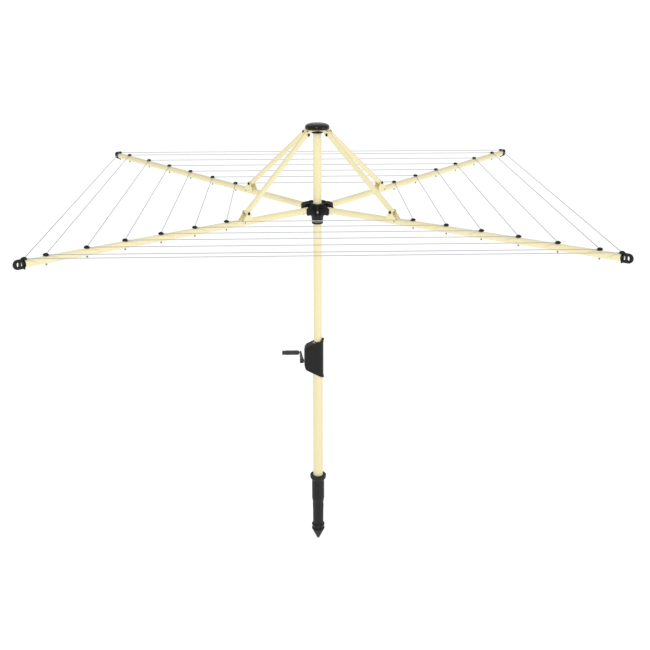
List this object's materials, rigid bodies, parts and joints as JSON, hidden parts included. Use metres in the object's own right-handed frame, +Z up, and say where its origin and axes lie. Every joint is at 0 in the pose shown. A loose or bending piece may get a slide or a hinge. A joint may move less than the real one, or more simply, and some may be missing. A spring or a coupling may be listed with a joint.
{
  "type": "rotary clothesline",
  "caption": "Rotary outdoor clothesline: square cord runs on folding arms and struts over a wind-up telescoping mast that stands in a ground socket.",
  "frame": {"origin": "on the mast axis, level with the ground, which is the flat rim of the ground socket", "axes": "+Z up along the mast; the winder and its crank point to -X; the arms lie on the diagonals between X and Y"},
  "size_m": [2.4764, 2.4764, 2.406],
  "materials": {
    "cream_paint": "powder coat, cream, satin",
    "black_plastic": "moulded, UV-stable black, satin",
    "gloss_black": "moulded, glossy black",
    "grip_plastic": "moulded, dark grey, fine matt",
    "zinc_steel": "zinc plated",
    "nylon": "natural nylon",
    "line_cord": "grey vinyl-covered line"
  },
  "bodies": {
    "ground": {"ground_socket": "black_plastic"},
    "lower_mast": {"lower_mast": "cream_paint", "mast_guide_bush": "black_plastic", "winder_housing_front": "black_plastic", "winder_housing_back": "black_plastic", "gear_pin": "zinc_steel", "winder_screw_1": "zinc_steel", "winder_screw_2": "zinc_steel", "winder_screw_3": "zinc_steel", "winder_screw_4": "zinc_steel"},
    "gear": {"lift_gear": "zinc_steel"},
    "crank": {"crank_shaft": "zinc_steel", "crank_arm": "gloss_black", "grip_pin": "zinc_steel"},
    "grip": {"crank_grip": "grip_plastic"},
    "upper_mast": {"upper_mast": "cream_paint", "lift_rack": "zinc_steel", "mast_foot_bush": "nylon", "mast_top_bush": "black_plastic", "hub_stop_collar": "black_plastic"},
    "head": {"top_casting": "cream_paint", "head_cap": "gloss_black", "strut_top_bolt_1": "black_plastic", "strut_top_bolt_2": "black_plastic", "strut_top_bolt_3": "black_plastic", "strut_top_bolt_4": "black_plastic"},
    "runner": {"runner_hub": "black_plastic", "arm_pivot_pin_1": "black_plastic", "arm_pivot_pin_2": "black_plastic", "arm_pivot_pin_3": "black_plastic", "arm_pivot_pin_4": "black_plastic", "line_1": "line_cord", "line_2": "line_cord", "line_3": "line_cord", "line_4": "line_cord", "line_5": "line_cord", "line_6": "line_cord", "line_7": "line_cord"},
    "latch": {"hub_latch_button": "gloss_black"},
    "arm_1": {"arm_1": "cream_paint", "arm_end_cap_1": "black_plastic", "strut_bracket_1": "cream_paint", "strut_foot_bolt_1": "black_plastic"},
    "strut_1": {"strut_1": "cream_paint"},
    "arm_2": {"arm_2": "cream_paint", "arm_end_cap_2": "black_plastic", "strut_bracket_2": "cream_paint", "strut_foot_bolt_2": "black_plastic"},
    "strut_2": {"strut_2": "cream_paint"},
    "arm_3": {"arm_3": "cream_paint", "arm_end_cap_3": "black_plastic", "strut_bracket_3": "cream_paint", "strut_foot_bolt_3": "black_plastic"},
    "strut_3": {"strut_3": "cream_paint"},
    "arm_4": {"arm_4": "cream_paint", "arm_end_cap_4": "black_plastic", "strut_bracket_4": "cream_paint", "strut_foot_bolt_4": "black_plastic"},
    "strut_4": {"strut_4": "cream_paint"}
  },
  "joints": [
    {"name": "mast_lift_out", "type": "slide", "parent": "ground", "child": "lower_mast", "axis": [0, 0, 1], "range_m": [0, 0.16]},
    {"name": "mast_lift", "type": "slide", "parent": "lower_mast", "child": "upper_mast", "axis": [0, 0, 1], "range_m": [0, 0.3]},
    {"name": "crank_turn", "type": "hinge", "parent": "lower_mast", "child": "crank", "pos_m": [-0.08, 0, 0.698], "axis": [1, 0, 0], "range_deg": [0, 9000.5]},
    {"name": "gear_turn", "type": "hinge", "parent": "lower_mast", "child": "gear", "pos_m": [-0.0423, 0, 0.7264], "axis": [0, -1, 0], "range_deg": [0, 900.5]},
    {"name": "grip_spin", "type": "hinge", "parent": "crank", "child": "grip", "pos_m": [-0.15, 0.126, 0.698], "axis": [1, 0, 0], "continuous": true},
    {"name": "head_spin", "type": "hinge", "parent": "upper_mast", "child": "head", "pos_m": [0, 0, 1.95], "axis": [0, 0, 1], "continuous": true},
    {"name": "hub_slide", "type": "slide", "parent": "head", "child": "runner", "axis": [0, 0, 1], "range_m": [0, 0.3032], "deforming": ["line_1", "line_2", "line_3", "line_4", "line_5", "line_6", "line_7"]},
    {"name": "latch_press", "type": "slide", "parent": "runner", "child": "latch", "axis": [0, 1, 0], "range_m": [0, 0.004], "stiffness_N_per_m": 600},
    {"name": "arm_fold_1", "type": "hinge", "parent": "runner", "child": "arm_1", "pos_m": [0.03818, 0.03818, 1.55015], "axis": [-0.7071, 0.7071, 0], "range_deg": [0, 91.2]},
    {"name": "strut_fold_1", "type": "hinge", "parent": "arm_1", "child": "strut_1", "pos_m": [0.35251, 0.35251, 1.61122], "axis": [0.7071, -0.7071, 0], "range_deg": [0, 42]},
    {"name": "arm_fold_2", "type": "hinge", "parent": "runner", "child": "arm_2", "pos_m": [-0.03818, 0.03818, 1.55015], "axis": [-0.7071, -0.7071, 0], "range_deg": [0, 91.2]},
    {"name": "strut_fold_2", "type": "hinge", "parent": "arm_2", "child": "strut_2", "pos_m": [-0.35251, 0.35251, 1.61122], "axis": [0.7071, 0.7071, 0], "range_deg": [0, 42]},
    {"name": "arm_fold_3", "type": "hinge", "parent": "runner", "child": "arm_3", "pos_m": [-0.03818, -0.03818, 1.55015], "axis": [0.7071, -0.7071, 0], "range_deg": [0, 91.2]},
    {"name": "strut_fold_3", "type": "hinge", "parent": "arm_3", "child": "strut_3", "pos_m": [-0.35251, -0.35251, 1.61122], "axis": [-0.7071, 0.7071, 0], "range_deg": [0, 42]},
    {"name": "arm_fold_4", "type": "hinge", "parent": "runner", "child": "arm_4", "pos_m": [0.03818, -0.03818, 1.55015], "axis": [0.7071, 0.7071, 0], "range_deg": [0, 91.2]},
    {"name": "strut_fold_4", "type": "hinge", "parent": "arm_4", "child": "strut_4", "pos_m": [0.35251, -0.35251, 1.61122], "axis": [-0.7071, -0.7071, 0], "range_deg": [0, 42]}
  ],
  "couplings": [
    {"joint": "crank_turn", "follows": "mast_lift", "rad_per_m": 523.6},
    {"joint": "gear_turn", "follows": "mast_lift", "rad_per_m": 52.36},
    {"joint": "arm_fold_1", "follows": "hub_slide", "rad_per_m": 5.2492},
    {"joint": "strut_fold_1", "follows": "hub_slide", "rad_per_m": 2.4155},
    {"joint": "arm_fold_2", "follows": "hub_slide", "rad_per_m": 5.2492},
    {"joint": "strut_fold_2", "follows": "hub_slide", "rad_per_m": 2.4155},
    {"joint": "arm_fold_3", "follows": "hub_slide", "rad_per_m": 5.2492},
    {"joint": "strut_fold_3", "follows": "hub_slide", "rad_per_m": 2.4155},
    {"joint": "arm_fold_4", "follows": "hub_slide", "rad_per_m": 5.2492},
    {"joint": "strut_fold_4", "follows": "hub_slide", "rad_per_m": 2.4155}
  ]
}
